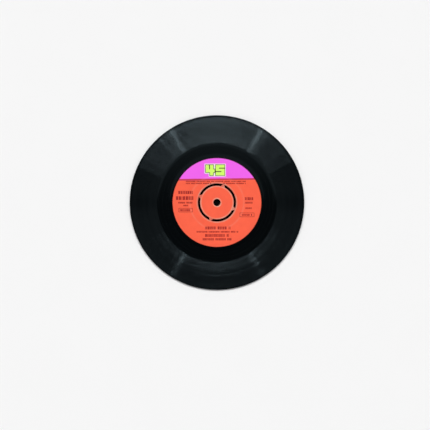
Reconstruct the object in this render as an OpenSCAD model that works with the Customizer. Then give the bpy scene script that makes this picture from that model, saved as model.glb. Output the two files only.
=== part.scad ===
// A 7-inch record with a push-out centre, lying on its side B.
// Z runs along the spindle, and z = 0 is the lowest face of side B. +Y is the top of the side A label.

/* [Disc] */
// Outer diameter of the record
disc_d = 175; // [168:0.5:182]
// Thickness of the land under the labels, labels included
land_t = 1.7; // [1.6:0.05:2.4]
// Thickness of the vinyl in the playing band
band_t = 1.1; // [0.8:0.05:1.5]
// Thickness of the bead round the rim
bead_t = 1.3; // [1.2:0.05:1.6]
// Width of the bead, from its foot to the edge of the disc
bead_w = 1.9; // [1.4:0.1:3]
// Width of bare land between the label and the shoulder
land_rim_w = 1.9; // [0.8:0.1:3]
// Width of the slope from the land down to the playing band
shoulder_w = 1.2; // [0.6:0.1:2]

/* [Grooves] */
// Distance from one groove to the next, coarser than the real one so that each can be cut
groove_pitch = 0.8; // [0.6:0.1:2]
// Width of a groove at the surface
groove_w = 0.5; // [0.2:0.05:0.55]
// Depth of a groove
groove_depth = 0.12; // [0.04:0.01:0.2]
// Smooth lead-in between the bead and the first groove
lead_in_w = 0.6; // [0.3:0.1:3]
// Flat ring between the shoulder and the locked groove
locked_groove_offset = 1.3; // [0.6:0.1:2.5]
// Dead wax between the locked groove and the last groove of the recording
dead_wax_w = 10.7; // [6:0.1:14]
// Turns of the run-out groove across the dead wax
run_out_turns = 2; // [1:1:4]

/* [Labels] */
// Diameter of the paper labels
label_d = 89; // [84:0.5:92]
// Thickness of the paper
label_t = 0.12; // [0.08:0.01:0.2]
// Gap between the edge of the paper and the vinyl round it
label_edge_gap = 0.08; // [0.04:0.01:0.2]
// Diameter of the faint ring that the press leaves in the label
press_ring_d = 54; // [46:0.5:70]
// Width of that ring
press_ring_w = 1.4; // [0.8:0.1:3]
// Depth of that ring
press_ring_depth = 0.05; // [0.02:0.01:0.07]

/* [Push-out centre] */
// Diameter of the small hole for an ordinary spindle
spindle_hole_d = 7.24; // [7:0.02:8]
// Diameter of the large hole that is left when the centre is out
large_hole_d = 38.2; // [37.5:0.05:39]
// Width of the slots round the centre
slot_w = 2.3; // [1.4:0.1:3]
// Prongs that hold the centre in the large hole
prong_count = 4; // [3:1:6]
// Width of a prong where it leaves the centre
prong_root_w = 3.5; // [2.6:0.1:6]
// Width of a prong at its tip
prong_tip_w = 1.2; // [1:0.1:2.4]
// Turn of the prongs about the spindle, in degrees
prong_turn = -20.5; // [-45:0.5:45]
// Width of the break line between the tip of a prong and the large hole
break_gap = 0.03; // [0.02:0.01:0.08]

/* [Hidden] */
round_fn = 180;
rim_steps = 8;

// Radii, from the spindle outwards
spindle_r = spindle_hole_d / 2;
large_hole_r = large_hole_d / 2;
centre_r = large_hole_r - slot_w;
prong_tip_r = large_hole_r - break_gap;
press_ring_r = press_ring_d / 2;
label_r = label_d / 2;
recess_r = label_r + label_edge_gap;
land_r = recess_r + land_rim_w;
shoulder_r = land_r + shoulder_w;
locked_groove_r = shoulder_r + locked_groove_offset;
run_out_step = dead_wax_w / (run_out_turns + 1);
band_in_r = locked_groove_r + dead_wax_w;
disc_r = disc_d / 2;
bead_foot_r = disc_r - bead_w;
band_out_r = bead_foot_r - lead_in_w;
groove_count = floor((band_out_r - band_in_r) / groove_pitch);

// Heights above the middle plane of the disc
mid_z = land_t / 2;
land_h = land_t / 2;
web_h = land_h - label_t;
band_h = band_t / 2;
bead_h = bead_t / 2;
bead_slope_w = (bead_w - bead_h) / 2;

// A V groove at radius r, as points from its inner edge to its outer edge
function vee(r) = [[r - groove_w / 2, band_h], [r, band_h - groove_depth], [r + groove_w / 2, band_h]];

// The rounded edge of the bead, from its top to the outermost point
function rim_arc() = [
    for (i = [0 : rim_steps])
        let (turn = 90 * i / rim_steps)
            [disc_r - bead_h + bead_h * sin(turn), bead_h * cos(turn)]
];

// One face of the disc from the large hole to the rim, as [radius, height above the middle plane]
function disc_face() = concat(
    [[large_hole_r, web_h], [recess_r, web_h], [recess_r, land_h], [land_r, land_h], [shoulder_r, band_h]],
    [for (i = [0 : run_out_turns]) each vee(locked_groove_r + i * run_out_step)],
    [for (i = [groove_count - 1 : -1 : 0]) each vee(band_out_r - (i + 0.5) * groove_pitch)],
    [[bead_foot_r, band_h], [bead_foot_r + bead_slope_w, bead_h]],
    rim_arc()
);

// The same points on the other face, from the rim back to the large hole
function other_face(points) = [for (i = [len(points) - 1 : -1 : 0]) [points[i][0], -points[i][1]]];

// Children stay on side A or are turned over to side B, about the middle plane
module on_side(side_a) {
    translate([0, 0, mid_z])
        mirror([0, 0, side_a ? 0 : 1])
            children();
}

// The disc, pressed in one piece with both faces alike
module disc() {
    color([0.05, 0.06, 0.07])
        translate([0, 0, mid_z])
            rotate_extrude($fn = round_fn)
                polygon(concat(disc_face(), other_face(disc_face())));
}

// The paper ring round the push-out centre, flush with the land
module label_ring() {
    half_ring = press_ring_w / 2;
    color([0.97, 0.38, 0.28])
        rotate_extrude($fn = round_fn)
            polygon([
                [large_hole_r, web_h],
                [label_r, web_h],
                [label_r, land_h],
                [press_ring_r + half_ring, land_h],
                [press_ring_r, land_h - press_ring_depth],
                [press_ring_r - half_ring, land_h],
                [large_hole_r, land_h]
            ]);
}

module side_a_label() {
    on_side(true) label_ring();
}

module side_b_label() {
    on_side(false) label_ring();
}

// The middle with its prongs, between two heights above the middle plane
module pronged_middle(low, high) {
    translate([0, 0, low])
        difference() {
            intersection() {
                cylinder(r = prong_tip_r, h = high - low, $fn = round_fn);
                union() {
                    cylinder(r = centre_r, h = high - low, $fn = round_fn);
                    for (i = [0 : prong_count - 1])
                        rotate([0, 0, prong_turn + 360 * i / prong_count])
                            linear_extrude(height = high - low)
                                prong_outline();
                }
            }
            translate([0, 0, -1])
                cylinder(r = spindle_r, h = high - low + 2, $fn = round_fn);
        }
}

// One prong along +X, rooted well inside the middle and tapering to its tip
module prong_outline() {
    root_r = sqrt(pow(centre_r, 2) - pow(prong_root_w / 2, 2));
    polygon([
        [root_r - 1, -prong_root_w / 2],
        [root_r, -prong_root_w / 2],
        [large_hole_r, -prong_tip_w / 2],
        [large_hole_r, prong_tip_w / 2],
        [root_r, prong_root_w / 2],
        [root_r - 1, prong_root_w / 2]
    ]);
}

// The vinyl middle that snaps out of the large hole
module push_out_centre() {
    color([0.05, 0.06, 0.07])
        translate([0, 0, mid_z])
            pronged_middle(-web_h, web_h);
}

// The paper on the middle, cut free by the slots
module centre_label() {
    color([0.97, 0.38, 0.28])
        pronged_middle(web_h, land_h);
}

module centre_label_a() {
    on_side(true) centre_label();
}

module centre_label_b() {
    on_side(false) centre_label();
}

disc();
side_a_label();
side_b_label();
push_out_centre();
centre_label_a();
centre_label_b();
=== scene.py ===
import logging
import math
import random
from collections.abc import Iterable, Iterator
from dataclasses import dataclass
from enum import Enum
from typing import Any

import bmesh
import bpy
from mathutils import Matrix, Vector, noise


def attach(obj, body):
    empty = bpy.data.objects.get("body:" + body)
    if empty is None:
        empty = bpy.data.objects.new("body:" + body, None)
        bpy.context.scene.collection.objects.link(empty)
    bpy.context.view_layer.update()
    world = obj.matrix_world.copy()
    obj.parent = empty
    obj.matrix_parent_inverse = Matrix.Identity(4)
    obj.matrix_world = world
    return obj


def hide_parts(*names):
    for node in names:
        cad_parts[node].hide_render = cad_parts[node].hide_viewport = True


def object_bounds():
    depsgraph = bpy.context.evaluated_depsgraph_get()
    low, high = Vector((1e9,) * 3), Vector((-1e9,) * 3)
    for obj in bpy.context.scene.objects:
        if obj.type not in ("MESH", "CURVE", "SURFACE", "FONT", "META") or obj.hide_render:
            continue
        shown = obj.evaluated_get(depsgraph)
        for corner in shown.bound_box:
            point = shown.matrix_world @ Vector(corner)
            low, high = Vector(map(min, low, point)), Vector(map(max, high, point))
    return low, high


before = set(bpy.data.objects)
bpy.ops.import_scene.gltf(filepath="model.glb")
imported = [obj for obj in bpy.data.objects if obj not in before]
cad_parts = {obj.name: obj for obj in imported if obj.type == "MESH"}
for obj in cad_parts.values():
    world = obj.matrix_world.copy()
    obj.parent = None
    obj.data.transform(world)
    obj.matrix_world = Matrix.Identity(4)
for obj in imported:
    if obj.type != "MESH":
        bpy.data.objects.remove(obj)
cad_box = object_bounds()

log = logging.getLogger("record")

# Lengths are in millimetres, and a finished piece is scaled to metres. Heights are above the middle
# plane of the disc, with side A up, until a piece is lifted into the frame.
MM = 0.001
FULL_TURN = 2 * math.pi
WELD = 5e-4
SHARP_ANGLE = math.radians(38)
PAPER_SHARP_ANGLE = math.radians(14)

Point = tuple[float, float]
Span = tuple[float, float]


class Side(Enum):
    """A face of the record."""

    A = "a"
    B = "b"

    def turned(self) -> Matrix:
        """Return the half turn about X that carries side A's work to this side."""
        return Matrix.Rotation(0 if self is Side.A else math.pi, 4, "X")

    def mirrored(self) -> Matrix:
        """Return the mirror in the middle plane that carries side A's work to this side."""
        return Matrix.Diagonal((1, 1, 1 if self is Side.A else -1, 1))


class Body(Enum):
    """A body of the frame that pieces ride on."""

    RECORD = "record"
    CENTRE = "centre"


class Slot(Enum):
    """A material slot of the frame's record."""

    VINYL = "vinyl"
    LABEL_PAPER = "label_paper"


def linear(code: str) -> tuple[float, float, float, float]:
    """Turn an sRGB hex colour into a linear one.

    Args:
        code: Six hex digits after a #.

    Returns:
        Red, green, blue and an alpha of 1, as a shader socket takes them.
    """
    parts = [int(code[i : i + 2], 16) / 255 for i in (1, 3, 5)]
    red, green, blue = (p / 12.92 if p <= 0.04045 else ((p + 0.055) / 1.055) ** 2.4 for p in parts)
    return red, green, blue, 1.0


def add_node(
    tree: bpy.types.NodeTree,
    kind: str,
    inputs: dict[int | str, Any] | None = None,
    stops: Iterable[tuple[float, Any]] = (),
    **settings: Any,
) -> bpy.types.Node:
    """Add a shader node with its settings and links.

    Args:
        tree: The node tree that gets it.
        kind: Blender's name for the node's type.
        inputs: What each input socket takes, a value or another node's output socket.
        stops: For a ramp, the places from 0 to 1 and the grey or colour at each.
        **settings: The node's own properties.

    Returns:
        The new node.
    """
    node = tree.nodes.new(kind)
    for name, value in settings.items():
        setattr(node, name, value)
    for socket, value in (inputs or {}).items():
        if isinstance(value, bpy.types.NodeSocket):
            tree.links.new(value, node.inputs[socket])
        else:
            node.inputs[socket].default_value = value
    for i, (place, value) in enumerate(stops):
        elements = node.color_ramp.elements
        element = elements[i] if i < 2 else elements.new(place)
        element.position = place
        element.color = value if isinstance(value, tuple) else (value, value, value, 1)
    return node


def new_material(name: str) -> tuple[bpy.types.Material, bpy.types.NodeTree]:
    """Make an empty node material.

    Args:
        name: The material's name.

    Returns:
        The material and its node tree.
    """
    material = bpy.data.materials.new(name)
    material.use_nodes = True
    material.node_tree.nodes.clear()
    return material, material.node_tree


def radius_of(tree: bpy.types.NodeTree) -> tuple[bpy.types.NodeSocket, bpy.types.NodeSocket]:
    """Add the nodes that measure a point's distance from the spindle.

    Args:
        tree: The node tree that gets them.

    Returns:
        The point itself and its distance from the spindle axis, both in millimetres.
    """
    place = add_node(tree, "ShaderNodeTexCoord").outputs["Object"]
    point = add_node(
        tree, "ShaderNodeVectorMath", {0: place, "Scale": 1 / MM}, operation="SCALE"
    ).outputs[0]
    flat = add_node(
        tree, "ShaderNodeVectorMath", {0: point, 1: (1, 1, 0)}, operation="MULTIPLY"
    ).outputs[0]
    radius = add_node(tree, "ShaderNodeVectorMath", {0: flat}, operation="LENGTH").outputs["Value"]
    return point, radius


def along_radius(
    tree: bpy.types.NodeTree, radius: bpy.types.NodeSocket, values: Iterable[tuple[float, Any]]
) -> bpy.types.NodeSocket:
    """Read a value off a list of radii, with straight runs between them.

    Args:
        tree: The node tree that gets the ramp.
        radius: The distance from the spindle, in millimetres.
        values: Radii in millimetres, going outwards, and the grey or colour at each.

    Returns:
        The socket that holds the value.
    """
    reach = 100.0
    share = add_node(tree, "ShaderNodeMath", {0: radius, 1: reach}, operation="DIVIDE").outputs[0]
    ramp = add_node(tree, "ShaderNodeValToRGB", {0: share}, [(r / reach, value) for r, value in values])
    return ramp.outputs[0]


@dataclass(frozen=True)
class PressedVinyl:
    """Black PVC, pressed hot between two stampers."""

    black: str = "#030405"
    grey: str = "#05080a"
    glint: str = "#d8f4ff"
    ior: float = 1.53
    shine: float = 0.26
    anisotropy: float = 0.9
    turns_per_mm: float = 2.4
    turn_swing: Span = (0.86, 1.14)
    ripple_depth: float = 0.002

    def material(self, pressing: "Pressing") -> bpy.types.Material:
        """Build the material for a pressing.

        Args:
            pressing: The disc whose zones it follows.

        Returns:
            The material.
        """
        # Pressed PVC is near black with a hard gloss, and streaked where its grooves catch a lamp
        material, tree = new_material("pressed_vinyl")
        point, radius = radius_of(tree)
        # Loud and quiet passages, a few millimetres wide, and single turns of the groove within them
        passages = along_radius(tree, radius, pressing.passages)
        turns = add_node(
            tree,
            "ShaderNodeTexNoise",
            {"W": radius, "Scale": self.turns_per_mm, "Detail": 2.0},
            noise_dimensions="1D",
        ).outputs[0]
        least, most = self.turn_swing
        swing = add_node(
            tree,
            "ShaderNodeMapRange",
            {"Value": turns, "From Min": 0.3, "From Max": 0.7, "To Min": least, "To Max": most},
        ).outputs[0]
        roughness = add_node(
            tree, "ShaderNodeMath", {0: passages, 1: swing}, operation="MULTIPLY"
        ).outputs[0]
        colour = add_node(
            tree, "ShaderNodeMix", {0: turns, 6: linear(self.black), 7: linear(self.grey)}, data_type="RGBA"
        ).outputs[2]
        # The groove runs round the spindle, so the gloss is smooth along it and spread across it
        across = add_node(
            tree, "ShaderNodeVectorMath", {0: point, 1: (1, 1, 0)}, operation="MULTIPLY"
        ).outputs[0]
        outwards = add_node(tree, "ShaderNodeVectorMath", {0: across}, operation="NORMALIZE").outputs[0]
        ripple = add_node(
            tree, "ShaderNodeBump", {"Height": turns, "Distance": self.ripple_depth * MM, "Strength": 1.0}
        ).outputs[0]
        shader = add_node(
            tree,
            "ShaderNodeBsdfPrincipled",
            {
                "Base Color": colour,
                "Roughness": roughness,
                "IOR": self.ior,
                "Specular IOR Level": self.shine,
                "Specular Tint": linear(self.glint),
                "Anisotropic": self.anisotropy,
                "Tangent": outwards,
                "Normal": ripple,
            },
        )
        add_node(tree, "ShaderNodeOutputMaterial", {"Surface": shader.outputs[0]})
        return material


@dataclass(frozen=True)
class LabelPaper:
    """Label paper, printed all over in two inks and pressed hot into the vinyl."""

    orange: str = "#ff6442"
    orange_worn: str = "#f45a3d"
    magenta: str = "#f261ee"
    overlap: str = "#c63656"
    # The pale of worn paper, also used for the painted highlight over the pressed ring
    pulp_and_highlight: str = "#e9a890"
    # Colour of the painted shade along the label's edges
    edge_shade_colour: str = "#8a1c10"
    magenta_from: float = 24.0
    ink_edge: float = 0.1
    overlap_width: float = 1.7
    misprint: float = math.radians(0.7)
    blotch: float = 6.25
    blotch_wear: Span = (0.4, 1.2)
    # Real fibres are finer, and are drawn as coarse as they need to be to show
    fibre: float = 0.35
    fibre_depth: float = 0.006
    roughness: Span = (0.5, 0.65)
    ior: float = 1.45
    # Radii and shares of the pale: wear round the spindle hole and beside the slots, and a painted
    # highlight over the pressed ring
    wear_and_ring_highlight: tuple[Point, ...] = (
        (3.6, 0.9),
        (4.2, 0.75),
        (5.1, 0.0),
        (15.3, 0.0),
        (16.0, 0.68),
        (19.9, 0.68),
        (20.7, 0.0),
        (25.6, 0.0),
        (27.0, 0.2),
        (28.4, 0.0),
    )
    # Radii and shares of the painted shade along the edges by the slots and at the rim
    painted_edge_shade: tuple[Point, ...] = (
        (16.2, 0.0),
        (16.8, 0.35),
        (19.1, 0.4),
        (19.8, 0.2),
        (20.3, 0.0),
        (43.8, 0.0),
        (44.4, 0.5),
    )

    def material(self, side: Side) -> bpy.types.Material:
        """Build the material for the labels of one side.

        Args:
            side: The side, which says where the top of the label is.

        Returns:
            The material.
        """
        # Pressed paper is matt with a faint grain, and pale where it is rubbed or handled, with a painted
        # highlight over the pressed ring and painted shade along its edges
        material, tree = new_material(f"label_paper_{side.value}")
        point, radius = radius_of(tree)
        # The second ink is laid a little askew to the first
        upwards = (-math.sin(self.misprint), math.cos(self.misprint) * (1 if side is Side.A else -1), 0)
        height = add_node(
            tree, "ShaderNodeVectorMath", {0: point, 1: upwards}, operation="DOT_PRODUCT"
        ).outputs["Value"]
        mottle = add_node(
            tree, "ShaderNodeTexNoise", {"Vector": point, "Scale": 1 / self.blotch, "Detail": 5.0}
        ).outputs[0]
        fibres = add_node(
            tree, "ShaderNodeTexNoise", {"Vector": point, "Scale": 1 / self.fibre, "Detail": 3.0}
        ).outputs[0]
        orange = add_node(
            tree,
            "ShaderNodeMix",
            {0: mottle, 6: linear(self.orange), 7: linear(self.orange_worn)},
            data_type="RGBA",
        ).outputs[2]
        from_low, from_high = self.magenta_from - self.ink_edge, self.magenta_from + self.ink_edge
        top = add_node(
            tree, "ShaderNodeMapRange", {"Value": height, "From Min": from_low, "From Max": from_high}
        ).outputs[0]
        two_inks = add_node(
            tree, "ShaderNodeMix", {0: top, 6: orange, 7: linear(self.magenta)}, data_type="RGBA"
        ).outputs[2]
        # The two inks overlap in a dark band
        on_line = add_node(
            tree,
            "ShaderNodeMath",
            {0: height, 1: self.magenta_from - self.overlap_width / 2, 2: self.overlap_width / 2},
            operation="COMPARE",
        ).outputs[0]
        inked = add_node(
            tree, "ShaderNodeMix", {0: on_line, 6: two_inks, 7: linear(self.overlap)}, data_type="RGBA"
        ).outputs[2]
        # The paper is rubbed pale round the spindle hole and beside the slots, and the pale ring over the
        # pressed ring is a painted highlight
        least, most = self.blotch_wear
        patchy = add_node(
            tree,
            "ShaderNodeMapRange",
            {"Value": mottle, "From Min": 0.35, "From Max": 0.65, "To Min": least, "To Max": most},
        ).outputs[0]
        wear_and_ring_highlight = along_radius(tree, radius, self.wear_and_ring_highlight)
        wear_and_highlight_share = add_node(tree, "ShaderNodeMath", {0: wear_and_ring_highlight, 1: patchy}, operation="MULTIPLY").outputs[0]
        pale = add_node(
            tree, "ShaderNodeMix", {0: wear_and_highlight_share, 6: inked, 7: linear(self.pulp_and_highlight)}, data_type="RGBA"
        ).outputs[2]
        # Its edges by the slots and at its rim are darkened with painted shade
        painted_edge_shade = along_radius(tree, radius, self.painted_edge_shade)
        edge_shaded = add_node(
            tree, "ShaderNodeMix", {0: painted_edge_shade, 6: pale, 7: linear(self.edge_shade_colour)}, data_type="RGBA"
        ).outputs[2]
        grain = add_node(
            tree, "ShaderNodeBump", {"Height": fibres, "Distance": self.fibre_depth * MM, "Strength": 1.0}
        ).outputs[0]
        smoothest, roughest = self.roughness
        rough = add_node(
            tree,
            "ShaderNodeMapRange",
            {"Value": fibres, "From Min": 0.3, "From Max": 0.7, "To Min": smoothest, "To Max": roughest},
        ).outputs[0]
        shader = add_node(
            tree,
            "ShaderNodeBsdfPrincipled",
            {"Base Color": edge_shaded, "Roughness": rough, "IOR": self.ior, "Normal": grain},
        )
        add_node(tree, "ShaderNodeOutputMaterial", {"Surface": shader.outputs[0]})
        return material


@dataclass(frozen=True)
class PrintedInk:
    """A film of letterpress ink on paper."""

    name: str
    colour: str
    thin: str
    # The paper's grain is finer, and is drawn as coarse as it needs to be to show
    grain: float = 0.5
    broken: Span = (0.45, 0.75)
    roughness: float = 0.55
    ior: float = 1.48

    def material(self) -> bpy.types.Material:
        """Build the material.

        Returns:
            The material.
        """
        # Letterpress ink is even and half matt, and thin where the paper's grain shows through
        material, tree = new_material(self.name)
        point, _ = radius_of(tree)
        cover = add_node(
            tree, "ShaderNodeTexNoise", {"Vector": point, "Scale": 1 / self.grain, "Detail": 4.0}
        ).outputs[0]
        whole, worn = self.broken
        share = add_node(
            tree, "ShaderNodeMapRange", {"Value": cover, "From Min": whole, "From Max": worn}
        ).outputs[0]
        ink = add_node(
            tree,
            "ShaderNodeMix",
            {0: share, 6: linear(self.colour), 7: linear(self.thin)},
            data_type="RGBA",
        ).outputs[2]
        shader = add_node(
            tree,
            "ShaderNodeBsdfPrincipled",
            {"Base Color": ink, "Roughness": self.roughness, "IOR": self.ior},
        )
        add_node(tree, "ShaderNodeOutputMaterial", {"Surface": shader.outputs[0]})
        return material


def lathe(bm: bmesh.types.BMesh, outline: list[Point], segments: int) -> None:
    """Spin a closed outline once round the spindle.

    Args:
        bm: The mesh that gets the ring.
        outline: Its corners as radius and height, in order.
        segments: How many steps the turn takes.
    """
    corners = [bm.verts.new((r, 0, h)) for r, h in outline]
    edges = [bm.edges.new((corners[i - 1], corner)) for i, corner in enumerate(corners)]
    bmesh.ops.spin(
        bm,
        geom=corners + edges,
        cent=(0, 0, 0),
        axis=(0, 0, 1),
        angle=FULL_TURN,
        steps=segments,
        use_merge=True,
    )
    bmesh.ops.recalc_face_normals(bm, faces=bm.faces)


def finish_piece(
    bm: bmesh.types.BMesh,
    name: str,
    material: bpy.types.Material,
    body: Body,
    slot: Slot,
    shown_for: Iterable[str] = (),
    sharp: float = PAPER_SHARP_ANGLE,
) -> bpy.types.Object:
    """Turn a mesh in millimetres into a piece that rides on its body.

    Args:
        bm: The mesh, centred on the middle plane. It is freed.
        name: The piece's name.
        material: What it is made of.
        body: The body that it moves with.
        slot: The material slot meant for its finish. It is not used.
        shown_for: The solids of the frame that it is shown in place of.
        sharp: The angle between two faces from which their edge shows.

    Returns:
        The new object.
    """
    middle = (cad_box[0].z + cad_box[1].z) / 2
    bmesh.ops.recalc_face_normals(bm, faces=bm.faces)
    bmesh.ops.transform(bm, matrix=Matrix.Translation((0, 0, middle)) @ Matrix.Scale(MM, 4), verts=bm.verts)
    mesh = bpy.data.meshes.new(name)
    bm.to_mesh(mesh)
    bm.free()
    for polygon in mesh.polygons:
        polygon.use_smooth = True
    mesh.set_sharp_from_angle(angle=sharp)
    mesh.materials.append(material)
    piece = bpy.data.objects.new(name, mesh)
    bpy.context.scene.collection.objects.link(piece)
    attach(piece, body.value)
    for node in shown_for:
        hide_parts(node)
    log.info("%s: %d faces, rides on %s", name, len(mesh.polygons), body.value)
    return piece


@dataclass(frozen=True)
class Stretch:
    """A run of the groove, counted from the locked groove outwards."""

    width: float
    turns: int
    groove_width: float
    wall: float
    swing: float = 0.0

    @property
    def depth(self) -> float:
        """Depth of the groove, whose walls lean at the wall angle in degrees."""
        return self.groove_width / 2 * math.tan(math.radians(self.wall))


@dataclass
class Pressing:
    """The pressed disc: land, shoulder, one spiral groove on each side, and the bead round the rim.

    The groove is cut about twice as coarse as a real one, so that it shows.
    """

    radius: float = min(-cad_box[0].x, -cad_box[0].y, cad_box[1].x, cad_box[1].y) / MM
    thickness: float = (cad_box[1] - cad_box[0]).z / MM
    band_thickness: float = 1.1
    bead_thickness: float = 1.3
    bead_width: float = 1.9
    rim_round: float = 1.15
    large_hole: float = 19.1
    label_thickness: float = 0.12
    recess: float = 44.58
    land: float = 46.48
    shoulder: float = 47.68
    locked_groove: float = 48.98
    edge_round: float = 0.08
    slope_steps: int = 6
    rim_steps: int = 8
    fade_turns: float = 0.5
    fill: float = 0.92
    segments: int = 180
    stretches: tuple[Stretch, ...] = (
        Stretch(10.95, 3, 0.14, 40.0),
        Stretch(3.3, 9, 0.27, 28.0, 0.08),
        Stretch(2.2, 6, 0.27, 27.2, 0.08),
        Stretch(2.2, 6, 0.27, 27.8, 0.08),
        Stretch(1.8, 5, 0.27, 26.7, 0.08),
        Stretch(2.6, 7, 0.27, 25.3, 0.08),
        Stretch(1.9, 5, 0.28, 26.7, 0.08),
        Stretch(6.6, 18, 0.27, 25.4, 0.08),
        Stretch(1.3, 4, 0.28, 25.5, 0.06),
        Stretch(3.6, 11, 0.3, 25.8, 0.06),
    )
    passages: tuple[Point, ...] = (
        (48.0, 0.06),
        (58.4, 0.07),
        (60.2, 0.123),
        (69.3, 0.123),
        (70.3, 0.1),
        (71.6, 0.1),
        (72.6, 0.12),
        (73.6, 0.12),
        (74.8, 0.1),
        (85.5, 0.1),
        (86.3, 0.09),
    )

    @property
    def land_height(self) -> float:
        """Height of the land above the middle plane."""
        return self.thickness / 2

    @property
    def web_height(self) -> float:
        """Height of the vinyl under the labels."""
        return self.land_height - self.label_thickness

    @property
    def band_height(self) -> float:
        """Height of the playing band."""
        return self.band_thickness / 2

    @property
    def turns(self) -> int:
        """Turns of the groove from the locked groove to the lead-in."""
        return sum(s.turns for s in self.stretches)

    @property
    def band_edge(self) -> float:
        """Radius at which the lead-in groove starts."""
        recorded = sum(s.width for s in self.stretches)
        return self.locked_groove + self.stretches[0].groove_width / 2 + recorded

    def groove_at(self, turn: float) -> tuple[float, float, float]:
        """Work out where the groove is after some turns.

        Args:
            turn: Turns from the locked groove, going outwards.

        Returns:
            The radius of the groove's bottom, its width and its depth.
        """
        inner = self.locked_groove + self.stretches[0].groove_width / 2
        left = turn
        for stretch in self.stretches:
            if left <= stretch.turns or stretch is self.stretches[-1]:
                break
            inner += stretch.width
            left -= stretch.turns
        fade = min(1.0, turn / self.fade_turns, max(0.0, self.turns - turn) / self.fade_turns)
        # Slow changes of loudness over some turns, and quick ones of half the size
        slow = noise.noise(Vector((turn * 0.31, 0.5, 0.0)))
        passage = slow + 0.5 * noise.noise(Vector((turn * 1.7, 7.5, 0.0)))
        pitch = stretch.width / stretch.turns
        level = min(fade * (1 + stretch.swing * passage), self.fill * pitch / stretch.groove_width)
        return inner + left * pitch, stretch.groove_width * level, stretch.depth * level

    def hub_outline(self) -> list[Point]:
        """List the fixed points of one face, from the large hole to the locked groove.

        Returns:
            The points, as radius and height.
        """
        e = self.edge_round
        drop = self.land_height - self.band_height
        slope = []
        for i in range(self.slope_steps + 1):
            t = i / self.slope_steps
            ease = t * t * (3 - 2 * t)
            slope.append((self.land + (self.shoulder - self.land) * t, self.land_height - drop * ease))
        half = self.stretches[0].groove_width / 2
        locked = [
            (self.locked_groove - half, self.band_height),
            (self.locked_groove, self.band_height - self.stretches[0].depth),
            (self.locked_groove + half, self.band_height),
        ]
        return [
            (self.large_hole, 0.0),
            (self.large_hole, self.web_height),
            (self.recess, self.web_height),
            (self.recess, self.land_height - e),
            (self.recess + e, self.land_height),
            *slope,
            *locked,
        ]

    def rim_outline(self) -> list[Point]:
        """List the fixed points of one face, from the lead-in to the outermost edge.

        Returns:
            The points, as radius and height.
        """
        bead = self.bead_thickness / 2
        foot = self.radius - self.bead_width
        slope_width = (self.bead_width - bead) / 2
        points = [(self.band_edge, self.band_height)]
        for i in range(self.rim_steps + 1):
            t = i / self.rim_steps
            ease = t * t * (3 - 2 * t)
            points.append((foot + slope_width * t, self.band_height + (bead - self.band_height) * ease))
        for i in range(self.rim_steps + 1):
            angle = math.pi / 2 * i / self.rim_steps
            points.append((self.radius - self.rim_round * (1 - math.sin(angle)), bead * math.cos(angle)))
        return points

    def face(self) -> bmesh.types.BMesh:
        """Build one face with its spiral groove, open along the middle plane.

        The outline is spun once round the spindle, and each turn of the groove is then led out to where
        the next one starts, so that the seam closes on one spiral.

        Returns:
            The mesh, in millimetres.
        """
        bm = bmesh.new()
        place = bm.verts.layers.int.new("place")
        inner, outer = self.hub_outline(), self.rim_outline()
        start, stop = inner[-1][0], outer[0][0]
        count = 3 * self.turns
        waiting = [(start + (stop - start) * (i + 1) / (count + 1), self.band_height) for i in range(count)]
        row = [bm.verts.new((r, 0, h)) for r, h in (*inner, *waiting, *outer)]
        for i in range(count):
            row[len(inner) + i][place] = i + 1
        edges = [bm.edges.new(pair) for pair in zip(row, row[1:])]
        # The spin doesn't merge its seam, because each turn ends where the next one starts
        spun = bmesh.ops.spin(
            bm, geom=row + edges, cent=(0, 0, 0), axis=(0, 0, 1), angle=FULL_TURN, steps=self.segments
        )
        last = {v for v in spun["geom_last"] if isinstance(v, bmesh.types.BMVert)}
        for vert in bm.verts:
            at = round(math.atan2(vert.co.y, vert.co.x) % FULL_TURN / FULL_TURN * self.segments)
            angle = 0.0 if vert in last else FULL_TURN * at / self.segments
            radius, height = math.hypot(vert.co.x, vert.co.y), vert.co.z
            if vert[place]:
                whole, corner = divmod(vert[place] - 1, 3)
                radius, width, depth = self.groove_at(whole + (1.0 if vert in last else angle / FULL_TURN))
                radius += (corner - 1) * width / 2
                height = self.band_height - (depth if corner == 1 else 0.0)
            vert.co = (radius * math.cos(angle), radius * math.sin(angle), height)
        bmesh.ops.remove_doubles(bm, verts=bm.verts, dist=WELD)
        return bm

    def build(self, vinyl: bpy.types.Material) -> bpy.types.Object:
        """Build the whole disc.

        Args:
            vinyl: What it is pressed from.

        Returns:
            The disc.
        """
        bm = self.face()
        under = bmesh.ops.duplicate(bm, geom=bm.verts[:] + bm.edges[:] + bm.faces[:])["geom"]
        under_verts = [v for v in under if isinstance(v, bmesh.types.BMVert)]
        bmesh.ops.transform(bm, matrix=Side.B.turned(), verts=under_verts)
        bmesh.ops.remove_doubles(bm, verts=bm.verts, dist=WELD)
        open_edges = sum(1 for e in bm.edges if not e.is_manifold)
        log.info("pressing: %d turns of groove a side, %d open edges", self.turns, open_edges)
        return finish_piece(bm, "pressed_disc", vinyl, Body.RECORD, Slot.VINYL, ["disc"], SHARP_ANGLE)


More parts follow.
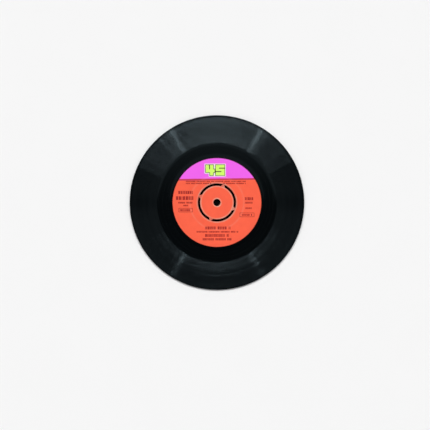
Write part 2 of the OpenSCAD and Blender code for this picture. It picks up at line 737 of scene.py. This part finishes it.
@dataclass
class PaperLabels:
    """The two paper rings round the push-out centre."""

    pressing: Pressing
    radius: float = 44.5
    ink: float = 0.02
    ring: float = 27.0
    ring_width: float = 1.6
    ring_depth: float = 0.03
    punched_width: float = 0.7
    punched_drop: float = 0.05
    edge: float = 0.05
    steps: int = 6
    segments: int = 240

    def outline(self) -> list[Point]:
        """Draw the section of a label, with the pressed ring and the edge that the punch drew down.

        Returns:
            Its corners, as radius and height.
        """
        top = self.pressing.land_height - self.ink
        base = self.pressing.web_height
        hole = self.pressing.large_hole
        half = self.ring_width / 2
        ring, drawn = [], []
        for i in range(self.steps + 1):
            t = i / self.steps
            angle = math.pi * t
            ring.append((self.ring - half * math.cos(angle), top - self.ring_depth * math.sin(angle) ** 2))
            drawn.append((hole + self.punched_width * t, top - self.punched_drop * (1 - t) ** 2))
        outside = [(self.radius - self.edge, top), (self.radius, top - self.edge), (self.radius, base)]
        return [(hole, base), *drawn, *ring, *outside]

    def build(self, side: Side, paper: bpy.types.Material) -> bpy.types.Object:
        """Build one label ring.

        Args:
            side: The side that it is on.
            paper: What it is made of.

        Returns:
            The label.
        """
        bm = bmesh.new()
        lathe(bm, self.outline(), self.segments)
        bmesh.ops.transform(bm, matrix=side.mirrored(), verts=bm.verts)
        node = f"side_{side.value}_label"
        return finish_piece(bm, f"paper_label_{side.value}", paper, Body.RECORD, Slot.LABEL_PAPER, [node])


@dataclass
class PushOutCentre:
    """The middle that snaps out: a vinyl web with four prongs, and a piece of label on each side."""

    pressing: Pressing
    spindle_hole: float = 3.62
    slot: float = 2.3
    break_gap: float = 0.03
    prongs: int = 4
    prong_root: float = 3.5
    prong_tip: float = 1.2
    turn: float = math.radians(-20.5)
    ink: float = 0.02
    web_edge: float = 0.02
    paper_edge: float = 0.035
    rim_angle: float = math.radians(50)
    segments: int = 96

    def middle(self, low: float, high: float, edge: float) -> bmesh.types.BMesh:
        """Build the pronged outline as a solid between two heights.

        Args:
            low: Height of its lower face.
            high: Height of its upper face.
            edge: How far its corners are rounded.

        Returns:
            The mesh, in millimetres.
        """
        bm = bmesh.new()
        inner, outer = self.spindle_hole, self.pressing.large_hole - self.slot
        lathe(bm, [(inner, low), (outer, low), (outer, high), (inner, high)], self.segments)
        tip = self.pressing.large_hole - self.break_gap
        root_angle = 2 * math.asin(self.prong_root / 2 / outer)
        for i in range(self.prongs):
            heading = FULL_TURN * i / self.prongs
            turn_back = Matrix.Rotation(-heading, 4, "Z")
            # The faces of the outer wall that a prong is drawn out of
            faces = []
            for face in bm.faces:
                centre = turn_back @ face.calc_center_median()
                on_wall = abs(face.normal.z) < 0.1 and math.hypot(centre.x, centre.y) > 0.9 * outer
                if on_wall and abs(math.atan2(centre.y, centre.x)) < root_angle / 2:
                    faces.append(face)
            grown = bmesh.ops.extrude_face_region(bm, geom=faces)["geom"]
            for vert in grown:
                if not isinstance(vert, bmesh.types.BMVert):
                    continue
                local = turn_back @ vert.co
                across = local.y * self.prong_tip / self.prong_root
                local = Vector((math.sqrt(tip ** 2 - across ** 2), across, local.z))
                vert.co = turn_back.inverted() @ local
        bmesh.ops.remove_doubles(bm, verts=bm.verts, dist=WELD)
        sharp = [e for e in bm.edges if e.is_manifold and e.calc_face_angle() > self.rim_angle]
        rims = [e for e in sharp if abs(e.verts[0].co.z - e.verts[1].co.z) < WELD]
        bmesh.ops.bevel(
            bm,
            geom=rims,
            offset=edge,
            offset_type="OFFSET",
            segments=2,
            profile=0.5,
            affect="EDGES",
            material=-1,
        )
        bmesh.ops.rotate(bm, cent=(0, 0, 0), matrix=Matrix.Rotation(self.turn, 3, "Z"), verts=bm.verts)
        return bm

    def build_web(self, vinyl: bpy.types.Material) -> bpy.types.Object:
        """Build the vinyl web.

        Args:
            vinyl: What it is pressed from.

        Returns:
            The web.
        """
        web = self.pressing.web_height
        bm = self.middle(-web, web, self.web_edge)
        return finish_piece(bm, "pronged_centre", vinyl, Body.CENTRE, Slot.VINYL, ["push_out_centre"])

    def build_label(self, side: Side, paper: bpy.types.Material) -> bpy.types.Object:
        """Build the piece of label on one side of the web.

        Args:
            side: The side that it is on.
            paper: What it is made of.

        Returns:
            The label.
        """
        top = self.pressing.land_height - self.ink
        bm = self.middle(self.pressing.web_height, top, self.paper_edge)
        bmesh.ops.transform(bm, matrix=side.mirrored(), verts=bm.verts)
        node = f"centre_label_{side.value}"
        return finish_piece(bm, f"paper_centre_{side.value}", paper, Body.CENTRE, Slot.LABEL_PAPER, [node])


@dataclass(frozen=True)
class TextLine:
    """A line of print, as marks with no letters: where it runs and how tall it is."""

    left: float
    right: float
    middle: float
    height: float


@dataclass(frozen=True)
class PrintedBox:
    """A printed box round some marks."""

    left: float
    right: float
    low: float
    high: float
    line: float = 0.4


@dataclass
class LabelPrint:
    """What is printed on a label: lines of plain marks and two boxes."""

    pressing: Pressing
    film: float = 0.02
    bite: float = 0.01
    margin: float = 0.2
    lines: tuple[TextLine, ...] = (
        TextLine(-31.0, 29.0, 21.1, 1.3),
        TextLine(-31.0, 29.0, 19.1, 1.3),
        TextLine(-38.6, -24.0, 10.1, 3.0),
        TextLine(-41.0, -22.2, 4.4, 3.6),
        TextLine(-38.6, -24.2, -0.2, 1.7),
        TextLine(-33.6, -29.0, -3.0, 1.5),
        TextLine(-37.2, -25.6, -7.7, 2.1),
        TextLine(28.0, 37.2, 3.8, 3.0),
        TextLine(28.0, 37.4, -0.2, 1.8),
        TextLine(28.6, 35.4, -5.7, 1.7),
        TextLine(25.0, 35.6, -12.4, 1.8),
        TextLine(-11.8, 13.8, -25.5, 2.9),
        TextLine(-20.4, 21.8, -29.3, 1.6),
        TextLine(-11.8, 12.2, -33.0, 2.9),
        TextLine(-14.2, 15.2, -36.8, 2.2),
    )
    boxes: tuple[PrintedBox, ...] = (
        PrintedBox(-38.4, -24.4, -9.7, -5.6),
        PrintedBox(22.8, 37.4, -14.5, -10.2),
    )
    # A mark, the gap after it and the space between words, as shares of the height of the line
    mark: float = 0.34
    gap: float = 0.17
    space: float = 0.6
    word: tuple[int, int] = (5, 14)
    mark_widths: tuple[float, ...] = (0.6, 0.9, 1.0, 1.3, 1.8)

    def marks(self, line: TextLine, draw: random.Random) -> Iterator[tuple[float, float]]:
        """Share a line out into words of plain upright marks.

        Args:
            line: The line.
            draw: Where the lengths of the words come from.

        Yields:
            The left and right edge of each mark.
        """
        width, gap, space = self.mark * line.height, self.gap * line.height, self.space * line.height
        at = line.left
        while at + width <= line.right:
            for _ in range(draw.randint(*self.word)):
                mark = width * draw.choice(self.mark_widths)
                if at + mark > line.right:
                    return
                yield at, at + mark
                at += mark + gap
            at += space

    def block(self, bm: bmesh.types.BMesh, left: float, right: float, low: float, high: float) -> None:
        """Add one closed block of ink, sunk a little into the paper.

        Args:
            bm: The mesh that gets it.
            left: Its left edge.
            right: Its right edge.
            low: Its lower edge.
            high: Its upper edge.
        """
        top = self.pressing.land_height
        base = top - self.film - self.bite
        place = Matrix.Translation(((left + right) / 2, (low + high) / 2, (top + base) / 2))
        size = Matrix.Diagonal((right - left, high - low, top - base, 1))
        bmesh.ops.create_cube(bm, size=1.0, matrix=place @ size)

    def build_text(self, side: Side, ink: bpy.types.Material) -> bpy.types.Object:
        """Print the lines and the boxes of one side.

        Args:
            side: The side, which also seeds the lengths of the words.
            ink: The ink.

        Returns:
            The print.
        """
        draw = random.Random(45 + ord(side.value))
        bm = bmesh.new()
        for line in self.lines:
            half = line.height / 2
            for left, right in self.marks(line, draw):
                # No mark hangs over the large hole
                nearest = math.hypot(max(left, -right, 0.0), max(abs(line.middle) - half, 0.0))
                if nearest > self.pressing.large_hole + self.margin:
                    self.block(bm, left, right, line.middle - half, line.middle + half)
        for box in self.boxes:
            t = box.line
            self.block(bm, box.left, box.right, box.high - t, box.high)
            self.block(bm, box.left, box.right, box.low, box.low + t)
            self.block(bm, box.left, box.left + t, box.low + t, box.high - t)
            self.block(bm, box.right - t, box.right, box.low + t, box.high - t)
        bmesh.ops.transform(bm, matrix=side.turned(), verts=bm.verts)
        return finish_piece(bm, f"print_{side.value}", ink, Body.RECORD, Slot.LABEL_PAPER)


@dataclass(frozen=True)
class Bar:
    """One straight stroke of a numeral, as an upright rectangle."""

    left: float
    low: float
    right: float
    high: float


@dataclass
class SpeedNumeral:
    """The numeral for the speed, in block figures with a dark outline and a white surround."""

    pressing: Pressing
    centre: Point = (-1.8, 32.4)
    outline_width: float = 0.55
    surround_width: float = 0.7
    film: float = 0.02
    bite: float = 0.01
    layer: float = 0.006
    corner: float = 0.35
    bars: tuple[Bar, ...] = (
        Bar(-9.4, -2.2, -6.1, 5.2),
        Bar(-9.4, -2.2, -0.5, 0.9),
        Bar(-5.2, -5.2, -1.9, 5.2),
        Bar(0.6, 2.4, 9.4, 5.2),
        Bar(0.6, -1.0, 3.7, 5.2),
        Bar(0.6, -1.0, 9.4, 1.5),
        Bar(6.3, -5.2, 9.4, 1.5),
        Bar(0.6, -5.2, 9.4, -1.9),
    )

    def plate(self, grow: float, low: float, high: float) -> bmesh.types.BMesh:
        """Cut the figures out of a sheet and thicken it.

        Args:
            grow: How far each stroke is widened on every side.
            low: Height of the lower face.
            high: Height of the upper face.

        Returns:
            The mesh, in millimetres.
        """
        wide = [Bar(b.left - grow, b.low - grow, b.right + grow, b.high + grow) for b in self.bars]
        across = sorted({x for b in wide for x in (b.left, b.right)})
        up = sorted({y for b in wide for y in (b.low, b.high)})
        bm = bmesh.new()
        size = Matrix.Diagonal((across[-1] - across[0], up[-1] - up[0], 1, 1))
        place = Matrix.Translation(((across[0] + across[-1]) / 2, (up[0] + up[-1]) / 2, low))
        bmesh.ops.create_grid(bm, x_segments=1, y_segments=1, size=0.5, matrix=place @ size)
        for x in across[1:-1]:
            everything = bm.verts[:] + bm.edges[:] + bm.faces[:]
            bmesh.ops.bisect_plane(bm, geom=everything, plane_co=(x, 0, 0), plane_no=(1, 0, 0))
        for y in up[1:-1]:
            everything = bm.verts[:] + bm.edges[:] + bm.faces[:]
            bmesh.ops.bisect_plane(bm, geom=everything, plane_co=(0, y, 0), plane_no=(0, 1, 0))
        waste = []
        for face in bm.faces:
            x, y, _ = face.calc_center_median()
            if not any(b.left < x < b.right and b.low < y < b.high for b in wide):
                waste.append(face)
        bmesh.ops.delete(bm, geom=waste, context="FACES")
        bmesh.ops.dissolve_limit(bm, angle_limit=math.radians(1), verts=bm.verts[:], edges=bm.edges[:])
        bmesh.ops.bevel(
            bm,
            geom=bm.verts[:],
            offset=self.corner,
            segments=3,
            profile=0.5,
            affect="VERTICES",
            material=-1,
        )
        grown = bmesh.ops.extrude_face_region(bm, geom=bm.faces[:])["geom"]
        lifted = [v for v in grown if isinstance(v, bmesh.types.BMVert)]
        bmesh.ops.translate(bm, vec=(0, 0, high - low), verts=lifted)
        bmesh.ops.translate(bm, vec=(*self.centre, 0), verts=bm.verts)
        return bm

    def build(
        self, side: Side, white: bpy.types.Material, dark: bpy.types.Material, lime: bpy.types.Material
    ) -> None:
        """Print the three layers on one side.

        Args:
            side: The side.
            white: Ink of the surround.
            dark: Ink of the outline.
            lime: Ink of the figures.
        """
        top = self.pressing.land_height
        base = top - self.film - self.bite
        layers = (
            ("surround", white, self.outline_width + self.surround_width, top - 2 * self.layer),
            ("outline", dark, self.outline_width, top - self.layer),
            ("figures", lime, 0.0, top),
        )
        for name, ink, grow, high in layers:
            bm = self.plate(grow, base, high)
            bmesh.ops.transform(bm, matrix=side.turned(), verts=bm.verts)
            finish_piece(bm, f"numeral_{name}_{side.value}", ink, Body.RECORD, Slot.LABEL_PAPER)


@dataclass(frozen=True)
class SoftBox:
    """A long far lamp: its heading round the record and its width, both in degrees, and its level."""

    name: str
    heading: float
    width: float
    level: float


@dataclass
class Studio:
    """A plain pale table, a camera straight above it, and soft lamps.

    The reach of the table and the distance of the lamps are in metres, and angles are in degrees.
    """

    pressing: Pressing
    floor_colour: str = "#f6f6f6"
    painted_shade_colour: str = "#0a0a0a"
    painted_shade_radius: float = 60.0
    table_reach: float = 3.5
    table_mottle: float = 50.0
    table_shade: Span = (0.985, 1.0)
    lens: float = 85.0
    sensor: float = 36.0
    frame_pixels: float = 430.0
    disc_pixels: float = 174.75
    disc_at: Point = (216.95, 202.5)
    horizon: float = 0.92
    key_headings: tuple[float, float] = (58.7, 122.2)
    key_elevation: float = 41.0
    key_strength: float = 0.15
    key_angle: float = 3.4
    box_distance: float = 150.0
    box_elevation: float = 37.0
    box_rise: float = 5.57
    box_power: float = 81.1
    boxes: tuple[SoftBox, ...] = (
        SoftBox("soft_box_top", 91.0, 52.0, 0.95),
        SoftBox("soft_box_right", 58.5, 13.9, 0.66),
        SoftBox("soft_box_far_right", 45.0, 13.1, 0.3),
        SoftBox("soft_box_end_right", 34.5, 9.9, 0.2),
        SoftBox("soft_box_left", 124.5, 15.1, 0.7),
        SoftBox("soft_box_far_left", 139.5, 16.2, 0.36),
        SoftBox("soft_box_end_left", 151.0, 8.0, 0.18),
    )
    dome: tuple[Point, ...] = (
        (0.0, 1.0),
        (0.42, 1.0),
        (0.5, 0.7),
        (0.56, 0.58),
        (0.64, 0.62),
        (0.72, 0.2),
        (0.8, 0.03),
    )
    glow: float = 0.42
    glow_from: Span = (0.0, 0.12)
    ceiling: Span = (0.7, 0.85)
    dim_side: float = 0.15
    near_side: Span = (-0.75, -0.3)
    wall_top: Span = (0.4, 0.52)

    def build_floor(self) -> bpy.types.Object:
        """Build the table that the record lies on.

        Under the middle of the record the table has a dark disc of painted shade, so that the spindle hole
        and the slots show dark.
        At rest the record hides that part of it.

        Returns:
            The table.
        """
        # Matt painted board, which shows the record's soft shadow and no reflection of it
        material, tree = new_material("pale_table")
        point, radius = radius_of(tree)
        grain = add_node(
            tree, "ShaderNodeTexNoise", {"Vector": point, "Scale": 1 / self.table_mottle, "Detail": 2.0}
        ).outputs[0]
        darkest, palest = self.table_shade
        shade = add_node(
            tree,
            "ShaderNodeMapRange",
            {"Value": grain, "From Min": 0.0, "From Max": 1.0, "To Min": darkest, "To Max": palest},
        ).outputs[0]
        pale = add_node(
            tree,
            "ShaderNodeVectorMath",
            {0: linear(self.floor_colour)[:3], "Scale": shade},
            operation="SCALE",
        ).outputs[0]
        # Painted shade: a dark disc of the table under the middle of the record
        under = add_node(
            tree, "ShaderNodeMath", {0: radius, 1: self.painted_shade_radius}, operation="LESS_THAN"
        ).outputs[0]
        colour = add_node(
            tree, "ShaderNodeMix", {0: under, 6: pale, 7: linear(self.painted_shade_colour)}, data_type="RGBA"
        ).outputs[2]
        shader = add_node(
            tree,
            "ShaderNodeBsdfPrincipled",
            {"Base Color": colour, "Roughness": 0.9, "IOR": 1.0, "Specular IOR Level": 0.0},
        )
        add_node(tree, "ShaderNodeOutputMaterial", {"Surface": shader.outputs[0]})
        bm = bmesh.new()
        bmesh.ops.create_grid(bm, x_segments=1, y_segments=1, size=self.table_reach)
        bmesh.ops.translate(bm, vec=(0, 0, cad_box[0].z), verts=bm.verts)
        mesh = bpy.data.meshes.new("table_top")
        bm.to_mesh(mesh)
        bm.free()
        mesh.materials.append(material)
        table = bpy.data.objects.new("table_top", mesh)
        bpy.context.scene.collection.objects.link(table)
        return table

    def build_world(self) -> None:
        """Light the scene from all round, pale at the horizon and dim overhead."""
        world = bpy.data.worlds.new("studio")
        bpy.context.scene.world = world
        world.use_nodes = True
        tree = world.node_tree
        tree.nodes.clear()
        direction = add_node(tree, "ShaderNodeTexCoord").outputs["Generated"]
        axes = add_node(tree, "ShaderNodeSeparateXYZ", {0: direction})
        height = axes.outputs["Z"]
        stops = [(place, share * self.horizon) for place, share in self.dome]
        ramp = add_node(tree, "ShaderNodeValToRGB", {0: height}, stops).outputs[0]
        # The walls are dimmer on the near side, above the middle heights, and the ceiling is a little
        # paler beyond the top of the record
        eased = []
        for value, span, levels in (
            (axes.outputs["Y"], self.near_side, (self.dim_side, 1.0)),
            (height, self.wall_top, (0.0, 1.0)),
            (axes.outputs["Y"], self.glow_from, (0.0, self.glow)),
            (height, self.ceiling, (0.0, 1.0)),
        ):
            ranges = zip(("From Min", "From Max", "To Min", "To Max"), (*span, *levels))
            eased.append(
                add_node(
                    tree,
                    "ShaderNodeMapRange",
                    {"Value": value, **dict(ranges)},
                    interpolation_type="SMOOTHSTEP",
                ).outputs[0]
            )
        near, walls, beyond, overhead = eased
        share = add_node(tree, "ShaderNodeMix", {0: walls, 2: 1.0, 3: near}, data_type="FLOAT").outputs[0]
        dome = add_node(tree, "ShaderNodeMath", {0: ramp, 1: share}, operation="MULTIPLY").outputs[0]
        glow = add_node(tree, "ShaderNodeMath", {0: beyond, 1: overhead}, operation="MULTIPLY").outputs[0]
        level = add_node(tree, "ShaderNodeMath", {0: dome, 1: glow}, operation="ADD").outputs[0]
        light = add_node(tree, "ShaderNodeBackground", {"Color": level, "Strength": 1.0})
        add_node(tree, "ShaderNodeOutputWorld", {"Surface": light.outputs[0]})

    def add_lamp(self, name: str, kind: str, towards: Vector, **settings: Any) -> bpy.types.Object:
        """Add a lamp that shines on the record.

        Args:
            name: The lamp's name.
            kind: Blender's name for its type.
            towards: Where it is, seen from the record, in metres.
            **settings: Its own properties.

        Returns:
            The lamp.
        """
        light = bpy.data.lights.new(name, kind)
        for key, value in settings.items():
            setattr(light, key, value)
        lamp = bpy.data.objects.new(name, light)
        lamp.location = towards
        lamp.rotation_euler = towards.to_track_quat("Z", "Y").to_euler()
        bpy.context.scene.collection.objects.link(lamp)
        return lamp

    @staticmethod
    def heading_to(heading: float, elevation: float) -> Vector:
        """Return the unit direction of a heading round the record and an elevation, both in degrees."""
        a, e = math.radians(heading), math.radians(elevation)
        return Vector((math.cos(a) * math.cos(e), math.sin(a) * math.cos(e), math.sin(e)))

    def build_lamps(self) -> None:
        """Place the soft boxes in an arc beyond the top of the record, with a far lamp near each end."""
        for heading in self.key_headings:
            self.add_lamp(
                f"key_{heading:.0f}",
                "SUN",
                self.heading_to(heading, self.key_elevation),
                energy=self.key_strength,
                angle=math.radians(self.key_angle),
            )
        out = self.box_distance * math.cos(math.radians(self.box_elevation))
        tall = 2 * self.box_distance * math.tan(math.radians(self.box_rise / 2))
        for box in self.boxes:
            long = 2 * out * math.tan(math.radians(box.width / 2))
            self.add_lamp(
                box.name,
                "AREA",
                self.box_distance * self.heading_to(box.heading, self.box_elevation),
                shape="RECTANGLE",
                size=long,
                size_y=tall,
                energy=self.box_power * long * tall * box.level,
            )

    def build_camera(self) -> None:
        """Place the camera straight above the record, with the disc as large as in the photograph."""
        pixel = 2 * self.pressing.radius / self.disc_pixels * MM
        width = self.frame_pixels * pixel
        lens = bpy.data.cameras.new("studio_camera")
        lens.lens = self.lens
        lens.sensor_width = self.sensor
        lens.clip_end = 50.0
        camera = bpy.data.objects.new("studio_camera", lens)
        aside = (self.frame_pixels / 2 - self.disc_at[0]) * pixel
        down = (self.disc_at[1] - self.frame_pixels / 2) * pixel
        camera.location = (aside, down, cad_box[1].z + width * self.lens / self.sensor)
        bpy.context.scene.collection.objects.link(camera)
        bpy.context.scene.camera = camera

    def build(self) -> None:
        """Build the floor, the lights and the camera."""
        self.build_floor()
        self.build_world()
        self.build_lamps()
        self.build_camera()
        bpy.context.scene.view_settings.view_transform = "Standard"
        log.info("studio: %d lamps", len(bpy.data.lights))


def main() -> None:
    """Build the record piece by piece, then the studio."""
    logging.basicConfig(level=logging.INFO, format="%(name)s: %(message)s")
    pressing = Pressing()
    vinyl = PressedVinyl().material(pressing)
    papers = {side: LabelPaper().material(side) for side in Side}
    red = PrintedInk("ink_dark_red", "#960e08", "#bc2418").material()
    white = PrintedInk("ink_white", "#f4eef0", "#f3d3d8").material()
    dark = PrintedInk("ink_dark", "#23301a", "#3c4a2a").material()
    lime = PrintedInk("ink_lime", "#d2fd68", "#c8f564").material()
    pressing.build(vinyl)
    labels, centre = PaperLabels(pressing), PushOutCentre(pressing)
    text, numeral = LabelPrint(pressing), SpeedNumeral(pressing)
    centre.build_web(vinyl)
    for side in Side:
        labels.build(side, papers[side])
        centre.build_label(side, papers[side])
        text.build_text(side, red)
        numeral.build(side, white, dark, lime)
    Studio(pressing).build()


if __name__ == "__main__":
    main()
